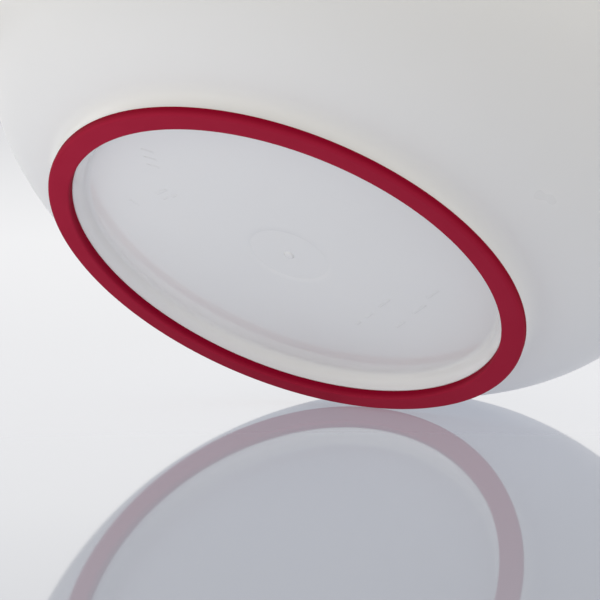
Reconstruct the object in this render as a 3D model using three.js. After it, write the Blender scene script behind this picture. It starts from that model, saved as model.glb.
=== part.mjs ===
// Mixing bowl: a one-piece moulded shell that stands on a soft non-slip ring.
// Millimetres, +Z up. The origin is the middle of the ring's underside, where the bowl stands.
import * as THREE from "three";

// Whole bowl
const HEIGHT = 118; // floor to the top of the rim
const WALL = 2.5; // thickness of the moulded shell
const SIDES = 72; // flat sides around every turned surface

// Belly: a superellipse of revolution, cut off below by the foot and above by the rim
const BELLY_RADIUS = 102;
const BELLY_DEPTH = 136.8; // from its widest level down to its lowest point
const BELLY_LEVEL = 137.4; // height of its widest level
const BELLY_POWER = 3.75;
const BELLY_STEPS = 13; // points on each side of the wall
const FLOOR_BEND = 20; // radius of the bend between the wall and the floor inside

// Rim: a solid bead with a rounded top and a small ledge underneath
const RIM_RADIUS = 104.4;
const RIM_HEIGHT = 6;
const RIM_ROUND = 1.8;

// Foot: the raised border under the base, and the sunk panel inside it
const FOOT_RADIUS = 59.8;
const FOOT_INNER_RADIUS = 54.3;
const FOOT_UNDERSIDE = 2.2;
const FOOT_FILLET = 4.5; // hollow bend between the foot and the belly
const PANEL_RADIUS = 52.2;
const PANEL_HEIGHT = 6.3; // underside of the sunk panel, at its edge
const PANEL_SAG = 0.5; // the panel bulges down by this much in its middle
const DIMPLE_RADIUS = 10.2; // shallow round dimple about the gate
const DIMPLE_DEPTH = 0.25;
const GATE_RADIUS = 1.5; // moulding nub in the middle of the dimple
const GATE_HEIGHT = 0.8;

// Non-slip ring: a flat band with a tongue that is pressed into a groove in the foot
const RING_RADIUS = 60;
const RING_INNER_RADIUS = 54.4;
const RING_THICKNESS = 1.9;
const RING_ROUND = 1.2;
const TONGUE_RADIUS = 57.2; // middle of the tongue
const TONGUE_WIDTH = 2.3;
const TONGUE_HEIGHT = 4.9;
const CLEARANCE = 0.3; // between the tongue and its groove

const white = new THREE.MeshStandardMaterial({ color: 0xe6e4e2, roughness: 0.45, metalness: 0 });
const red = new THREE.MeshStandardMaterial({ color: 0x8c1230, roughness: 0.6, metalness: 0 });

const point = (r, z) => new THREE.Vector2(r, z);

/** Points on a circular arc about (r, z), from one angle to another in degrees. */
function arc(r, z, radius, from, to, steps) {
  return Array.from({ length: steps + 1 }, (_, i) => {
    const angle = THREE.MathUtils.degToRad(from + ((to - from) * i) / steps);
    return point(r + radius * Math.cos(angle), z + radius * Math.sin(angle));
  });
}

/** Outer radius of the belly at a height. */
function bellyRadius(z) {
  const depth = (BELLY_LEVEL - z) / BELLY_DEPTH;
  return BELLY_RADIUS * Math.pow(1 - Math.pow(depth, BELLY_POWER), 1 / BELLY_POWER);
}

/** A point of the belly, moved inwards along the surface's normal. */
function bellyPoint(z, inset = 0) {
  const step = 0.01;
  const slope = (bellyRadius(z + step) - bellyRadius(z - step)) / (2 * step);
  const length = Math.hypot(1, slope);
  return point(bellyRadius(z) - inset / length, z + (inset * slope) / length);
}

/** Heights from the foot to the rim, closest together where the belly turns fastest. */
function bellyHeights(bottom, top) {
  const spread = 2.2;
  return Array.from({ length: BELLY_STEPS }, (_, i) => {
    return bottom + (top - bottom) * Math.pow(i / (BELLY_STEPS - 1), spread);
  });
}

/** The lowest belly height where a test is no longer true, found by halving. */
function firstHeight(test) {
  let low = FOOT_UNDERSIDE;
  let high = BELLY_LEVEL / 2;
  while (high - low > 1e-6) {
    const z = (low + high) / 2;
    if (test(z)) low = z;
    else high = z;
  }
  return low;
}

/** Direction from one point to another, in degrees. */
function bearing(from, to) {
  return THREE.MathUtils.radToDeg(Math.atan2(to.y - from.y, to.x - from.x));
}

/** The hollow bend that joins the upright side of the foot to the belly. */
function footFillet() {
  // Its centre is one radius outside the foot and one radius under the belly.
  const outwards = FOOT_RADIUS + FOOT_FILLET;
  const top = firstHeight((z) => bellyPoint(z, -FOOT_FILLET).x < outwards);
  const centre = bellyPoint(top, -FOOT_FILLET);
  const end = bearing(centre, bellyPoint(top));
  return { points: arc(centre.x, centre.y, FOOT_FILLET, 180, end, 4), top };
}

/** The bend that joins the wall to the flat floor inside, from the wall downwards. */
function floorBend(floor) {
  // Its centre is one radius over the floor and one radius in from the wall.
  const inset = WALL + FLOOR_BEND;
  const top = firstHeight((z) => bellyPoint(z, inset).y < floor + FLOOR_BEND);
  const centre = bellyPoint(top, inset);
  const start = bearing(centre, bellyPoint(top, WALL));
  return { points: arc(centre.x, centre.y, FLOOR_BEND, start, -90, 4), top };
}

/** Height of the panel's underside at a radius. */
function panelHeight(r) {
  return PANEL_HEIGHT - PANEL_SAG * (1 - (r / PANEL_RADIUS) ** 2);
}

function makeBowl() {
  const rimUnderside = HEIGHT - RIM_HEIGHT;
  const floor = PANEL_HEIGHT + WALL;

  const dimple = panelHeight(0) + DIMPLE_DEPTH;
  const panelRadii = [DIMPLE_RADIUS, PANEL_RADIUS / 2, (3 / 4) * PANEL_RADIUS, PANEL_RADIUS];
  const underside = [
    point(0, dimple - GATE_HEIGHT),
    point(GATE_RADIUS, dimple - GATE_HEIGHT),
    point(GATE_RADIUS + GATE_HEIGHT / 2, dimple),
    point(DIMPLE_RADIUS - DIMPLE_DEPTH, dimple),
    ...panelRadii.map((r) => point(r, panelHeight(r))),
    point(FOOT_INNER_RADIUS, FOOT_UNDERSIDE),
  ];
  const grooveHalf = TONGUE_WIDTH / 2 + CLEARANCE;
  const groove = [
    point(TONGUE_RADIUS - grooveHalf, FOOT_UNDERSIDE),
    point(TONGUE_RADIUS - grooveHalf, TONGUE_HEIGHT + CLEARANCE),
    point(TONGUE_RADIUS + grooveHalf, TONGUE_HEIGHT + CLEARANCE),
    point(TONGUE_RADIUS + grooveHalf, FOOT_UNDERSIDE),
    point(FOOT_RADIUS, FOOT_UNDERSIDE),
  ];
  const fillet = footFillet();
  const outside = bellyHeights(fillet.top, rimUnderside).map((z) => bellyPoint(z));

  const insideRadius = BELLY_RADIUS - WALL;
  const rim = [
    ...arc(RIM_RADIUS - RIM_ROUND / 2, rimUnderside + RIM_ROUND / 2, RIM_ROUND / 2, -90, 0, 2),
    ...arc(RIM_RADIUS - RIM_ROUND, HEIGHT - RIM_ROUND, RIM_ROUND, 0, 90, 4),
    ...arc(insideRadius + RIM_ROUND, HEIGHT - RIM_ROUND, RIM_ROUND, 90, 180, 4),
  ];

  const bend = floorBend(floor);
  const inside = bellyHeights(bend.top, rimUnderside).map((z) => bellyPoint(z, WALL));

  const profile = [
    ...underside,
    ...groove,
    ...fillet.points,
    ...outside.slice(1),
    ...rim,
    ...inside.reverse(),
    ...bend.points.slice(1),
    point(0, floor),
  ];
  return new THREE.LatheGeometry(profile, SIDES);
}

function makeRing() {
  const tongueInner = TONGUE_RADIUS - TONGUE_WIDTH / 2;
  const tongueOuter = TONGUE_RADIUS + TONGUE_WIDTH / 2;
  const band = [
    ...arc(RING_INNER_RADIUS + RING_ROUND, RING_ROUND, RING_ROUND, 180, 270, 3),
    ...arc(RING_RADIUS - RING_ROUND, RING_ROUND, RING_ROUND, 270, 360, 3),
    point(RING_RADIUS, RING_THICKNESS),
  ];
  const tongue = [
    point(tongueOuter, RING_THICKNESS),
    point(tongueOuter, TONGUE_HEIGHT),
    point(tongueInner, TONGUE_HEIGHT),
    point(tongueInner, RING_THICKNESS),
    point(RING_INNER_RADIUS, RING_THICKNESS),
  ];
  const profile = [...band, ...tongue];
  return new THREE.LatheGeometry([...profile, profile[0].clone()], SIDES);
}

/** Names a turned piece and turns its axis from three.js's Y to this part's Z. */
function piece(name, geometry, material) {
  geometry.rotateX(Math.PI / 2);
  const mesh = new THREE.Mesh(geometry, material);
  mesh.name = name;
  return mesh;
}

const mixingBowl = new THREE.Group();
mixingBowl.add(piece("bowl", makeBowl(), white));
mixingBowl.add(piece("non_slip_ring", makeRing(), red));

export default mixingBowl;
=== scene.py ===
"""Mixing bowl on a soft non-slip ring: fine meshes, materials, a plain studio and the camera."""

import math

import bmesh
import bpy
from mathutils import Matrix, Vector


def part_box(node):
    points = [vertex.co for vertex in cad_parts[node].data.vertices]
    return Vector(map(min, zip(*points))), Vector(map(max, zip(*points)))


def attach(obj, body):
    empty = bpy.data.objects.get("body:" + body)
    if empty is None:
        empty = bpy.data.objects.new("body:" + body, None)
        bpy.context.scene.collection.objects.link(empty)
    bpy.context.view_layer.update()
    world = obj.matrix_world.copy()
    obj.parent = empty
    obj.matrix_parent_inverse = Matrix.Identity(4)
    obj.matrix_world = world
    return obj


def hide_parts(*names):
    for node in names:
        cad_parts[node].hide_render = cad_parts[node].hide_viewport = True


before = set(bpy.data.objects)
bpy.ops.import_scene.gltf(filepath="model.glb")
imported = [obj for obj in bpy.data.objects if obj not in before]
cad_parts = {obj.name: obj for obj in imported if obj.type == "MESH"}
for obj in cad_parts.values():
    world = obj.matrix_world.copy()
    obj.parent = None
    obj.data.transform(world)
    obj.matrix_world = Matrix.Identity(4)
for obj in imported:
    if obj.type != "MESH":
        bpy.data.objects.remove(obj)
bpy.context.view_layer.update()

MM = 0.001  # outlines below are in millimetres

# ---------------------------------------------------------------- driving dimensions

BOWL_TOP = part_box("bowl")[1].z / MM
RIM_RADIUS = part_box("bowl")[1].x / MM
RING_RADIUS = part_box("non_slip_ring")[1].x / MM

WALL = 2.5
SEGMENTS = 288  # steps around every turned piece

# Belly: a superellipse of revolution between the foot and the rim
BELLY_RADIUS = 102
BELLY_DEPTH = 136.8
BELLY_LEVEL = 137.4
BELLY_POWER = 3.75
BELLY_STEPS = 72
FLOOR_BEND = 20

# Rim: a bead with a ledge underneath, which a small bend joins to the belly
RIM_HEIGHT = 6
RIM_ROUND = 1.8
LEDGE_ROUND = 0.9
LEDGE_BEND = 0.4
LEDGE_ROOM = 0.6  # the belly's curve stops this far under the ledge

# Foot: a raised border, a little higher on the inside, with a groove for the ring's tongue
FOOT_RADIUS = 59.8
FOOT_INNER_RADIUS = 54.3
FOOT_UNDERSIDE = 2.2
FOOT_INNER_UNDERSIDE = 2.45
FOOT_FILLET = 5.0  # hollow bend between the foot and the belly
EDGE_BREAK = 0.1  # rounding of the edges at the joint between the bowl and the ring
GROOVE_ROUND = 0.2

# Sunk panel, bulging down by its sag, with a shallow dimple about the gate's nub
PANEL_RADIUS = 52.2
PANEL_HEIGHT = 6.3
PANEL_SAG = 0.5
PANEL_BEND = 1.2
DIMPLE_RADIUS = 10.2
DIMPLE_DEPTH = 0.10
DIMPLE_EDGE = 0.3
GATE_RADIUS = 1.3
GATE_HEIGHT = 0.35
GATE_TIP = 0.8  # radius of its flat tip, as a part of its own radius
GATE_TIP_ROUND = 0.3
GATE_BEND = 0.25

# Wall between the panel and the foot: steep down to a soft knee, then more open
KNEE_OUT = 0.75
KNEE_DOWN = 2.2
KNEE_ROUND = 5.0

# Low bars on the panel as (x, y, turn, length), with the length taken between their round ends
MARK_WIDTH = 0.7
MARK_HEIGHT = 0.08
MARK_SINK = 0.3
MARKS = [
    (-13, 42, 70, 2.5), (-10.5, 40.5, 70, 2.5), (-8, 39, 70, 2.5),
    (0, 31, 20, 1.5), (3, 32.5, 20, 1.5), (1, 34, 20, 4),
    (12, 38, 100, 2),
    (-14, -33, 5, 5), (-5, -33.5, 5, 6), (6, -33, 5, 4),
    (0, -26, 5, 5), (9, -25.5, 5, 3), (15, -25, 5, 2),
]

# Non-slip ring: a flat band, a little thicker on the inside, and a tongue up into the groove
RING_INNER_RADIUS = 54.45
RING_THICKNESS = 2.18
RING_INNER_THICKNESS = 2.43
RING_ROUND = 0.9
RING_INNER_ROUND = 0.5
TONGUE_RADIUS = 57.2
TONGUE_WIDTH = 2.3
TONGUE_HEIGHT = 4.9
TONGUE_ROUND = 0.4
CLEARANCE = 0.3  # between the tongue and its groove

# Camera: on a sphere about the middle of the ring, below the bowl, with its angles in degrees
CAMERA_DISTANCE = 0.477  # in metres
CAMERA_AZIMUTH = -98.89
CAMERA_ELEVATION = -28.31
CAMERA_ROLL = 22.19
CAMERA_AIM = Vector((6.9, -7.8, 0)) * MM
CAMERA_LENS = 120.1  # focal length in millimetres

# Glossy sheet that the bowl rests on, tipped until the belly just clears it
SHEET_TILT = 41.0
SHEET_AZIMUTH = 45
SHEET_SIZE = 4.0  # in metres
SHEET_TONE = (0.18, 0.185, 0.21)
SHEET_GLOW = (0.205, 0.219, 0.250)

# Soft light all round, before the bowl and behind it, as (sine of the height above the sheet, level)
LIGHT_PEAK = 2.0
FRONT_COLOUR = (1.0, 0.96, 0.88)
FRONT_LIGHT = [(0, 0.21), (0.2, 0.45), (0.5, 0.34), (1, 0.08)]
BACK_COLOUR = (0.97, 0.95, 0.915)
BACK_LIGHT = [
    (0, 0.22), (0.04, 0.33), (0.09, 0.53), (0.14, 0.62),
    (0.22, 0.82), (0.4, 0.95), (0.7, 0.4), (1, 0.1),
]
BACK_STARTS = -0.1  # cosines of the angles from straight behind where that light starts and is full
BACK_FULL = 0.5

# Discs of light on the sheet, as (turn from the camera, reach, size, power, colour), where the
# turn is in degrees, the reach and size are in metres and the power is in watts
BOUNCE_LIFT = 0.03  # their height over the sheet in millimetres, less than the belly clears it by
BOUNCE_LIGHTS = [
    (0, 0, 1.0, 0.47, (0.98, 0.96, 1.0)),
    (40, 0.08, 0.2, 0.018, (0.9, 0.95, 1.0)),
    (60, 0.25, 0.35, 0.18, (1.0, 1.0, 1.0)),
    (-110, 0.2, 0.35, 0.035, (0.9, 0.95, 1.0)),
]

# Soft lights far off, as (turn from the camera, height, width, colour), with angles in degrees
SOFT_LIGHTS = [
    (60, 10, 30, (0.55, 0.55, 0.54)),
    (-60, 10, 30, (0.52, 0.52, 0.50)),
]


# ---------------------------------------------------------------- outlines

def arc(r, z, radius, start, end, steps):
    """Points on an arc about (r, z), between two angles in degrees."""
    angles = [math.radians(start + (end - start) * i / steps) for i in range(steps + 1)]
    return [(r + radius * math.cos(a), z + radius * math.sin(a)) for a in angles]


def rounded(corners, steps=4):
    """An outline from (r, z, radius) corners, each turned into an arc where its radius isn't 0."""
    points = []
    for i, (r, z, radius) in enumerate(corners):
        here = Vector((r, z))
        if radius == 0 or i in (0, len(corners) - 1):
            points.append((r, z))
            continue
        before = (Vector(corners[i - 1][:2]) - here).normalized()
        after = (Vector(corners[i + 1][:2]) - here).normalized()
        half = before.angle(after) / 2
        centre = here + (before + after).normalized() * (radius / math.sin(half))
        first = here + before * (radius / math.tan(half)) - centre
        last = here + after * (radius / math.tan(half)) - centre
        turn = first.angle_signed(last)
        for k in range(steps + 1):
            spoke = first.copy()
            spoke.rotate(Matrix.Rotation(-turn * k / steps, 2))
            points.append(tuple(centre + spoke))
    return points


def belly_radius(z):
    depth = (BELLY_LEVEL - z) / BELLY_DEPTH
    return BELLY_RADIUS * (1 - depth**BELLY_POWER) ** (1 / BELLY_POWER)


def belly_point(z, inset=0.0):
    """A point of the belly, moved inwards along the surface's normal."""
    step = 0.01
    slope = (belly_radius(z + step) - belly_radius(z - step)) / (2 * step)
    length = math.hypot(1, slope)
    return belly_radius(z) - inset / length, z + inset * slope / length


def belly_curve(bottom, top, inset=0.0):
    """The belly between two heights, with its points closest together near the foot."""
    spread = 2.0
    fractions = [(i / BELLY_STEPS) ** spread for i in range(BELLY_STEPS + 1)]
    return [belly_point(bottom + (top - bottom) * f, inset) for f in fractions]


def first_height(test):
    """The lowest belly height where a test is no longer true, found by halving."""
    low, high = FOOT_UNDERSIDE, BELLY_LEVEL / 2
    while high - low > 1e-6:
        z = (low + high) / 2
        if test(z):
            low = z
        else:
            high = z
    return low


def bearing(a, b):
    return math.degrees(math.atan2(b[1] - a[1], b[0] - a[0]))


def foot_fillet():
    """The hollow bend from the foot's upright side to the belly, and its top height."""
    outwards = FOOT_RADIUS + FOOT_FILLET
    top = first_height(lambda z: belly_point(z, -FOOT_FILLET)[0] < outwards)
    centre = belly_point(top, -FOOT_FILLET)
    end = bearing(centre, belly_point(top))
    return arc(*centre, FOOT_FILLET, 180, end, 12), top


def floor_bend(floor):
    """The bend from the wall inside down to the flat floor, and its top height."""
    inset = WALL + FLOOR_BEND
    top = first_height(lambda z: belly_point(z, inset)[1] < floor + FLOOR_BEND)
    centre = belly_point(top, inset)
    start = bearing(centre, belly_point(top, WALL))
    return arc(*centre, FLOOR_BEND, start, -90, 10), top


def panel_height(r):
    return PANEL_HEIGHT - PANEL_SAG * (1 - (r / PANEL_RADIUS) ** 2)


def bowl_outline():
    """The moulded shell, from the axis underneath round to the axis inside."""
    dimple = panel_height(0) + DIMPLE_DEPTH
    tip = dimple - GATE_HEIGHT
    gate = rounded([
        (0, tip, 0),
        (GATE_RADIUS * GATE_TIP, tip, GATE_TIP_ROUND),
        (GATE_RADIUS, dimple, GATE_BEND),
        (DIMPLE_RADIUS - DIMPLE_EDGE, dimple, DIMPLE_EDGE),
        (DIMPLE_RADIUS, panel_height(DIMPLE_RADIUS), 0),
    ])
    panel_steps = 24
    panel_span = PANEL_RADIUS - PANEL_BEND - DIMPLE_RADIUS
    panel_radii = [DIMPLE_RADIUS + panel_span * i / panel_steps for i in range(1, panel_steps + 1)]
    panel = [(r, panel_height(r)) for r in panel_radii]
    groove_inner = TONGUE_RADIUS - TONGUE_WIDTH / 2 - CLEARANCE
    groove_outer = TONGUE_RADIUS + TONGUE_WIDTH / 2 + CLEARANCE
    groove_top = TONGUE_HEIGHT + CLEARANCE
    fillet, belly_bottom = foot_fillet()
    foot = rounded([
        (*panel[-1], 0),
        (PANEL_RADIUS, PANEL_HEIGHT, PANEL_BEND),
        (PANEL_RADIUS + KNEE_OUT, PANEL_HEIGHT - KNEE_DOWN, KNEE_ROUND),
        (FOOT_INNER_RADIUS, FOOT_INNER_UNDERSIDE, EDGE_BREAK),
        (groove_inner, FOOT_INNER_UNDERSIDE, EDGE_BREAK),
        (groove_inner, groove_top, GROOVE_ROUND),
        (groove_outer, groove_top, GROOVE_ROUND),
        (groove_outer, FOOT_UNDERSIDE, EDGE_BREAK),
        (FOOT_RADIUS, FOOT_UNDERSIDE, EDGE_BREAK),
        (*fillet[0], 0),
    ])
    rim_underside = BOWL_TOP - RIM_HEIGHT
    outside = belly_curve(belly_bottom, rim_underside - LEDGE_ROOM)
    inside_radius = BELLY_RADIUS - WALL
    rim = rounded([
        (*outside[-1], 0),
        (BELLY_RADIUS, rim_underside, LEDGE_BEND),
        (RIM_RADIUS, rim_underside, LEDGE_ROUND),
        (RIM_RADIUS, BOWL_TOP, RIM_ROUND),
        (inside_radius, BOWL_TOP, RIM_ROUND),
        (inside_radius, BOWL_TOP - 2 * RIM_ROUND, 0),
    ], steps=8)
    floor = PANEL_HEIGHT + WALL
    bend, bend_top = floor_bend(floor)
    inside = belly_curve(bend_top, rim_underside, WALL)
    floor_steps = 12
    floor_edge = bend[-1][0]
    floor_points = [(floor_edge * (1 - i / floor_steps), floor) for i in range(1, floor_steps + 1)]
    return [
        *gate,
        *panel,
        *foot[1:],
        *fillet[1:],
        *outside[1:],
        *rim[1:],
        *reversed(inside),
        *bend[1:],
        *floor_points,
    ]


def ring_outline():
    """The soft ring: a flat band under the foot with a tongue up into the groove."""
    tongue_inner = TONGUE_RADIUS - TONGUE_WIDTH / 2
    tongue_outer = TONGUE_RADIUS + TONGUE_WIDTH / 2
    return rounded([
        (TONGUE_RADIUS, 0, 0),
        (RING_RADIUS, 0, RING_ROUND),
        (RING_RADIUS, RING_THICKNESS, EDGE_BREAK),
        (tongue_outer, RING_THICKNESS, EDGE_BREAK),
        (tongue_outer, TONGUE_HEIGHT, TONGUE_ROUND),
        (tongue_inner, TONGUE_HEIGHT, TONGUE_ROUND),
        (tongue_inner, RING_INNER_THICKNESS, EDGE_BREAK),
        (RING_INNER_RADIUS, RING_INNER_THICKNESS, EDGE_BREAK),
        (RING_INNER_RADIUS, 0, RING_INNER_ROUND),
        (TONGUE_RADIUS, 0, 0),
    ], steps=6)


# ---------------------------------------------------------------- meshes

def turned(name, outline, material):
    """A closed surface turned about +Z. The outline starts and ends on the axis, or where it began."""
    mesh = bpy.data.meshes.new(name)
    build = bmesh.new()
    closed = outline[0] == outline[-1]
    rows = []
    for r, z in outline[:-1] if closed else outline:
        if r < 1e-6:
            rows.append([build.verts.new((0, 0, z * MM))])
            continue
        turns = [2 * math.pi * i / SEGMENTS for i in range(SEGMENTS)]
        rows.append([build.verts.new((r * MM * math.cos(t), r * MM * math.sin(t), z * MM)) for t in turns])
    pairs = list(zip(rows, rows[1:]))
    if closed:
        pairs.append((rows[-1], rows[0]))
    for low, high in pairs:
        for i in range(SEGMENTS):
            k = (i + 1) % SEGMENTS
            corners = [low[i % len(low)], low[k % len(low)], high[k % len(high)], high[i % len(high)]]
            build.faces.new(list(dict.fromkeys(corners)))
    bmesh.ops.recalc_face_normals(build, faces=build.faces)
    for face in build.faces:
        face.smooth = True
    build.to_mesh(mesh)
    build.free()
    piece = bpy.data.objects.new(name, mesh)
    bpy.context.scene.collection.objects.link(piece)
    mesh.materials.append(material)
    weighted = piece.modifiers.new("Even shading", "WEIGHTED_NORMAL")
    weighted.keep_sharp = False
    return piece


# ---------------------------------------------------------------- materials

def new_material(name):
    """A material, its node tree's node maker, and a linker."""
    material = bpy.data.materials.new(name)
    material.use_nodes = True
    tree = material.node_tree
    return material, tree.nodes, tree.links


def ramp(nodes, low, high):
    """A colour ramp between two colours."""
    node = nodes.new("ShaderNodeValToRGB")
    node.color_ramp.elements[0].color = low
    node.color_ramp.elements[1].color = high
    return node


def noise(nodes, links, scale, detail=3.0):
    """Noise over the object's own coordinates, in metres."""
    place = nodes.new("ShaderNodeTexCoord")
    node = nodes.new("ShaderNodeTexNoise")
    node.inputs["Scale"].default_value = scale
    node.inputs["Detail"].default_value = detail
    links.new(place.outputs["Object"], node.inputs["Vector"])
    return node


def spread(nodes, links, source, low, high):
    """Maps a 0 to 1 value on to another range."""
    node = nodes.new("ShaderNodeMapRange")
    node.inputs["To Min"].default_value = low
    node.inputs["To Max"].default_value = high
    links.new(source, node.inputs["Value"])
    return node.outputs["Result"]


def bump(nodes, links, height, distance, strength, onto=None):
    node = nodes.new("ShaderNodeBump")
    node.inputs["Distance"].default_value = distance
    node.inputs["Strength"].default_value = strength
    links.new(height, node.inputs["Height"])
    if onto is not None:
        links.new(onto, node.inputs["Normal"])
    return node.outputs["Normal"]


def outside_recess(nodes, links):
    """0 in the recess under the base and 1 outside it, by radius."""
    place = nodes.new("ShaderNodeTexCoord")
    flat = nodes.new("ShaderNodeVectorMath")
    flat.operation = "MULTIPLY"
    flat.inputs[1].default_value = (1, 1, 0)
    radius = nodes.new("ShaderNodeVectorMath")
    radius.operation = "LENGTH"
    edge = nodes.new("ShaderNodeMapRange")
    half_width = 0.5
    edge.inputs["From Min"].default_value = (FOOT_INNER_RADIUS - half_width) * MM
    edge.inputs["From Max"].default_value = (FOOT_INNER_RADIUS + half_width) * MM
    links.new(place.outputs["Object"], flat.inputs[0])
    links.new(flat.outputs["Vector"], radius.inputs[0])
    links.new(radius.outputs["Value"], edge.inputs["Value"])
    return edge.outputs["Result"]


def white_plastic():
    """Moulded plastic, glossy in the recess and satin outside it.

    Its tone is a little cloudy, and it has faint moulding waves and a fine skin.
    """
    material, nodes, links = new_material("white_plastic")
    shader = nodes["Principled BSDF"]
    shader.inputs["IOR"].default_value = 1.5
    shader.inputs["Subsurface Weight"].default_value = 0.12
    shader.inputs["Subsurface Radius"].default_value = (1.0, 0.95, 0.9)
    shader.inputs["Subsurface Scale"].default_value = 0.0015

    clouds = noise(nodes, links, 18)
    tone = ramp(nodes, (0.785, 0.785, 0.780, 1), (0.815, 0.812, 0.805, 1))
    links.new(clouds.outputs["Fac"], tone.inputs["Fac"])
    links.new(tone.outputs["Color"], shader.inputs["Base Color"])

    patches = noise(nodes, links, 45)
    gloss = spread(nodes, links, patches.outputs["Fac"], 0.06, 0.10)
    satin = spread(nodes, links, patches.outputs["Fac"], 0.26, 0.32)
    finish = nodes.new("ShaderNodeMix")
    links.new(outside_recess(nodes, links), finish.inputs["Factor"])
    links.new(gloss, finish.inputs["A"])
    links.new(satin, finish.inputs["B"])
    links.new(finish.outputs["Result"], shader.inputs["Roughness"])

    waves = noise(nodes, links, 60, detail=1.0)
    skin = noise(nodes, links, 2600)
    wavy = bump(nodes, links, waves.outputs["Fac"], 0.0004, 0.05)
    links.new(bump(nodes, links, skin.outputs["Fac"], 0.00002, 0.25, wavy), shader.inputs["Normal"])
    return material


def painted_shade_up_sides(nodes, links, colour):
    """Paints shade on the ring's sides: darkens the red from the flat underside up towards the joint with
    the bowl.
    """
    underside, joint = 0.2, 1.4  # heights in millimetres where the change starts and ends
    place = nodes.new("ShaderNodeTexCoord")
    split = nodes.new("ShaderNodeSeparateXYZ")
    depth = nodes.new("ShaderNodeMapRange")
    depth.inputs["From Min"].default_value = underside * MM
    depth.inputs["From Max"].default_value = joint * MM
    mix = nodes.new("ShaderNodeMix")
    mix.data_type = "RGBA"
    # dark red of the painted shade on the sides
    mix.inputs["B"].default_value = (0.26, 0.0015, 0.019, 1)
    links.new(place.outputs["Object"], split.inputs["Vector"])
    links.new(split.outputs["Z"], depth.inputs["Value"])
    links.new(depth.outputs["Result"], mix.inputs["Factor"])
    links.new(colour, mix.inputs["A"])
    return mix.outputs["Result"]


def red_rubber():
    """Soft matt silicone: a slightly uneven red, with painted shade up its sides and a fine moulded skin.
    """
    material, nodes, links = new_material("red_rubber")
    shader = nodes["Principled BSDF"]
    shader.inputs["IOR"].default_value = 1.3
    shader.inputs["Specular IOR Level"].default_value = 0.08
    shader.inputs["Sheen Weight"].default_value = 0.02
    shader.inputs["Sheen Roughness"].default_value = 0.4

    clouds = noise(nodes, links, 70)
    tone = ramp(nodes, (0.315, 0.011, 0.034, 1), (0.355, 0.015, 0.042, 1))
    links.new(clouds.outputs["Fac"], tone.inputs["Fac"])
    # painted shade darkens the sides towards the joint with the bowl
    links.new(painted_shade_up_sides(nodes, links, tone.outputs["Color"]), shader.inputs["Base Color"])

    patches = noise(nodes, links, 160)
    links.new(spread(nodes, links, patches.outputs["Fac"], 0.7, 0.85), shader.inputs["Roughness"])

    skin = noise(nodes, links, 3200)
    links.new(bump(nodes, links, skin.outputs["Fac"], 0.00003, 0.5), shader.inputs["Normal"])
    return material


def one_sided(material, nodes, links, shader):
    """Makes a studio surface vanish when it is seen from behind."""
    side = nodes.new("ShaderNodeNewGeometry")
    clear = nodes.new("ShaderNodeBsdfTransparent")
    mix = nodes.new("ShaderNodeMixShader")
    links.new(side.outputs["Backfacing"], mix.inputs["Fac"])
    links.new(shader.outputs["BSDF"], mix.inputs[1])
    links.new(clear.outputs["BSDF"], mix.inputs[2])
    links.new(mix.outputs["Shader"], nodes["Material Output"].inputs["Surface"])
    return material


def studio_white(name, tone, roughness, glow=(0, 0, 0)):
    """A white studio surface. Glow is the light that comes through it from behind."""
    material, nodes, links = new_material(name)
    shader = nodes["Principled BSDF"]
    shader.inputs["Base Color"].default_value = (*tone, 1)
    shader.inputs["Roughness"].default_value = roughness
    shader.inputs["IOR"].default_value = 1.5
    shader.inputs["Emission Color"].default_value = (*glow, 1)
    shader.inputs["Emission Strength"].default_value = 1
    return one_sided(material, nodes, links, shader)


# ---------------------------------------------------------------- the object

def add_bar(build, x, y, turn, length):
    """A low bar with round ends under the panel. Its top is sunk into the panel."""
    surface = panel_height(math.hypot(x, y))
    angle = math.radians(turn)
    lengthways = Vector((math.cos(angle), math.sin(angle), 0))
    sideways = Vector((-lengthways.y, lengthways.x, 0))
    foot, tip = MARK_WIDTH / 2, MARK_WIDTH / 3
    levels = [(foot, surface + MARK_SINK), (foot, surface), (tip, surface - MARK_HEIGHT)]
    rings = []
    for half_width, height in levels:
        points = arc(length / 2, 0, half_width, -90, 90, 6) + arc(-length / 2, 0, half_width, 90, 270, 6)
        middle = Vector((x, y, height))
        rings.append([build.verts.new((middle + lengthways * u + sideways * v) * MM) for u, v in points])
    for low, high in zip(rings, rings[1:]):
        for i in range(len(low)):
            k = (i + 1) % len(low)
            build.faces.new((low[i], low[k], high[k], high[i]))
    build.faces.new(rings[0])
    build.faces.new(rings[-1])


def mould_marks(material):
    """Plain bars where moulded marks stand on the panel."""
    mesh = bpy.data.meshes.new("mould_marks")
    build = bmesh.new()
    for mark in MARKS:
        add_bar(build, *mark)
    bmesh.ops.recalc_face_normals(build, faces=build.faces)
    build.to_mesh(mesh)
    build.free()
    mesh.materials.append(material)
    marks = bpy.data.objects.new("mould_marks", mesh)
    bpy.context.scene.collection.objects.link(marks)
    return marks


def make_object():
    plastic = white_plastic()
    bowl = turned("bowl_shell", bowl_outline(), plastic)
    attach(bowl, "root")
    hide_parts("bowl")

    marks = mould_marks(plastic)
    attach(marks, "root")

    ring = turned("soft_ring", ring_outline(), red_rubber())
    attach(ring, "root")
    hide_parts("non_slip_ring")


# ---------------------------------------------------------------- the studio

def direction(azimuth, elevation):
    """Unit vector from the object towards an azimuth and elevation in degrees; azimuth 0 is -Y."""
    a, e = math.radians(azimuth), math.radians(elevation)
    return Vector((math.sin(a) * math.cos(e), -math.cos(a) * math.cos(e), math.sin(e)))


def flat_square(name, size, material):
    half = size / 2
    mesh = bpy.data.meshes.new(name)
    corners = [(-half, -half, 0), (half, -half, 0), (half, half, 0), (-half, half, 0)]
    mesh.from_pydata(corners, [], [(0, 1, 2, 3)])
    mesh.materials.append(material)
    square = bpy.data.objects.new(name, mesh)
    bpy.context.scene.collection.objects.link(square)
    return square


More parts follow.
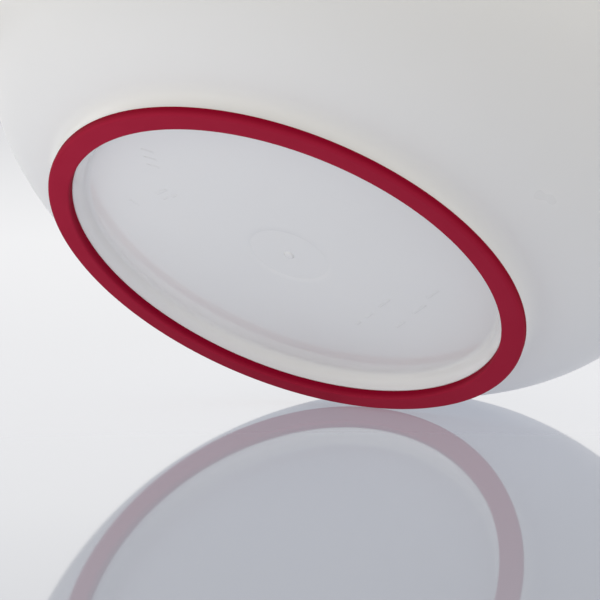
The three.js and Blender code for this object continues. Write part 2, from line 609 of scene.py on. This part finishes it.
def make_sheet():
    """The glossy white sheet, touching the ring's rounded edge at its lowest point."""
    white = studio_white("sheet_white", SHEET_TONE, 0.04, SHEET_GLOW)
    sheet = flat_square("sheet", SHEET_SIZE, white)
    sheet.rotation_mode = "QUATERNION"
    sheet.rotation_quaternion = sheet_normal().to_track_quat("Z", "Y")
    sheet.location = sheet_middle()


def make_floor():
    """A level floor for the views from above. It only shows; it doesn't light or shade the bowl."""
    floor = flat_square("floor", SHEET_SIZE, studio_white("floor_white", (0.80, 0.80, 0.81), 0.5))
    floor.visible_diffuse = False
    floor.visible_glossy = False
    floor.visible_transmission = False
    floor.visible_shadow = False


def sheet_normal():
    return direction(SHEET_AZIMUTH + 180, 90 - SHEET_TILT)


def sheet_middle():
    """The sheet's point nearest to the origin, where it touches the ring's rounded edge."""
    tilt = math.radians(SHEET_TILT)
    corner = Vector((RING_RADIUS - RING_ROUND, RING_ROUND)) * MM
    low = -corner.x * math.sin(tilt) + corner.y * math.cos(tilt) - RING_ROUND * MM
    return sheet_normal() * low


def bounce_light(turn, reach, size, power, colour):
    """A disc that lies on the sheet and lights the bowl from below, as a bounced light would."""
    light = bpy.data.lights.new("bounce", "AREA")
    light.shape = "DISK"
    light.size = size
    light.energy = power
    light.color = colour
    lamp = bpy.data.objects.new("bounce", light)
    bpy.context.scene.collection.objects.link(lamp)
    lift = sheet_normal() * BOUNCE_LIFT * MM
    lamp.location = sheet_middle() + lift + studio_direction(turn, 0) * reach
    lamp.rotation_mode = "QUATERNION"
    lamp.rotation_quaternion = (-sheet_normal()).to_track_quat("Z", "Y")
    lamp.visible_camera = False
    lamp.visible_glossy = False


def towards_camera():
    """Unit vector along the sheet, towards the camera."""
    normal = sheet_normal()
    level = direction(CAMERA_AZIMUTH, CAMERA_ELEVATION)
    return (level - normal * level.dot(normal)).normalized()


def studio_direction(turn, height):
    """Unit vector at a turn clockwise from the camera and a height above the sheet, in degrees."""
    level = towards_camera()
    level.rotate(Matrix.Rotation(math.radians(-turn), 3, sheet_normal()))
    rise = math.radians(height)
    return level * math.cos(rise) + sheet_normal() * math.sin(rise)


def along(nodes, links, vector, axis):
    """How far a vector reaches along an axis."""
    node = nodes.new("ShaderNodeVectorMath")
    node.operation = "DOT_PRODUCT"
    node.inputs[1].default_value = axis
    links.new(vector, node.inputs[0])
    return node.outputs["Value"]


def scaled(nodes, links, vector, factor):
    """A vector or colour times a factor. Each is a value or a socket."""
    node = nodes.new("ShaderNodeVectorMath")
    node.operation = "SCALE"
    for value, name in ((vector, "Vector"), (factor, "Scale")):
        if isinstance(value, bpy.types.NodeSocket):
            links.new(value, node.inputs[name])
        else:
            node.inputs[name].default_value = value
    return node.outputs["Vector"]


def light_ramp(nodes, links, height, levels, colour):
    """Light by height above the sheet."""
    node = nodes.new("ShaderNodeValToRGB")
    stops = node.color_ramp.elements
    while len(stops) < len(levels):
        stops.new(0.5)
    for stop, (position, level) in zip(stops, levels):
        stop.position = position
        stop.color = (*(level * channel for channel in colour), 1)
    links.new(height, node.inputs["Fac"])
    return scaled(nodes, links, node.outputs["Color"], LIGHT_PEAK)


def soft_light(nodes, links, outwards, turn, height, width, colour):
    """Light from about one direction, fading smoothly with the angle from it."""
    sharpness = 1 / math.radians(width) ** 2
    power = nodes.new("ShaderNodeMath")
    power.operation = "MULTIPLY_ADD"
    power.inputs[1].default_value = sharpness
    power.inputs[2].default_value = -sharpness
    links.new(along(nodes, links, outwards, studio_direction(turn, height)), power.inputs[0])
    fade = nodes.new("ShaderNodeMath")
    fade.operation = "EXPONENT"
    links.new(power.outputs["Value"], fade.inputs[0])
    return scaled(nodes, links, colour, fade.outputs["Value"])


def make_world():
    """Soft light from all round."""
    world = bpy.data.worlds.new("studio")
    bpy.context.scene.world = world
    world.use_nodes = True
    nodes, links = world.node_tree.nodes, world.node_tree.links
    outwards = nodes.new("ShaderNodeTexCoord").outputs["Generated"]
    behind = nodes.new("ShaderNodeMapRange")
    behind.interpolation_type = "SMOOTHSTEP"
    behind.inputs["From Min"].default_value = BACK_STARTS
    behind.inputs["From Max"].default_value = BACK_FULL
    links.new(along(nodes, links, outwards, studio_direction(180, 0)), behind.inputs["Value"])
    blend = nodes.new("ShaderNodeMix")
    blend.data_type = "VECTOR"
    links.new(behind.outputs["Result"], blend.inputs["Factor"])
    height = along(nodes, links, outwards, sheet_normal())
    links.new(light_ramp(nodes, links, height, FRONT_LIGHT, FRONT_COLOUR), blend.inputs["A"])
    links.new(light_ramp(nodes, links, height, BACK_LIGHT, BACK_COLOUR), blend.inputs["B"])
    total = blend.outputs["Result"]
    for light in SOFT_LIGHTS:
        both = nodes.new("ShaderNodeVectorMath")
        links.new(total, both.inputs[0])
        links.new(soft_light(nodes, links, outwards, *light), both.inputs[1])
        total = both.outputs["Vector"]
    links.new(total, nodes["Background"].inputs["Color"])


def make_camera():
    data = bpy.data.cameras.new("camera")
    data.lens = CAMERA_LENS
    data.clip_start = 0.01
    data.clip_end = 20
    camera = bpy.data.objects.new("camera", data)
    bpy.context.scene.collection.objects.link(camera)
    camera.location = direction(CAMERA_AZIMUTH, CAMERA_ELEVATION) * CAMERA_DISTANCE
    forward = (CAMERA_AIM - camera.location).normalized()
    camera.rotation_mode = "QUATERNION"
    level = forward.to_track_quat("-Z", "Y")
    roll = Matrix.Rotation(math.radians(CAMERA_ROLL), 3, "Z").to_quaternion()
    camera.rotation_quaternion = level @ roll
    bpy.context.scene.camera = camera


make_camera()
make_object()
make_sheet()
make_floor()
make_world()
for light in BOUNCE_LIGHTS:
    bounce_light(*light)
bpy.context.scene.view_settings.view_transform = "Standard"
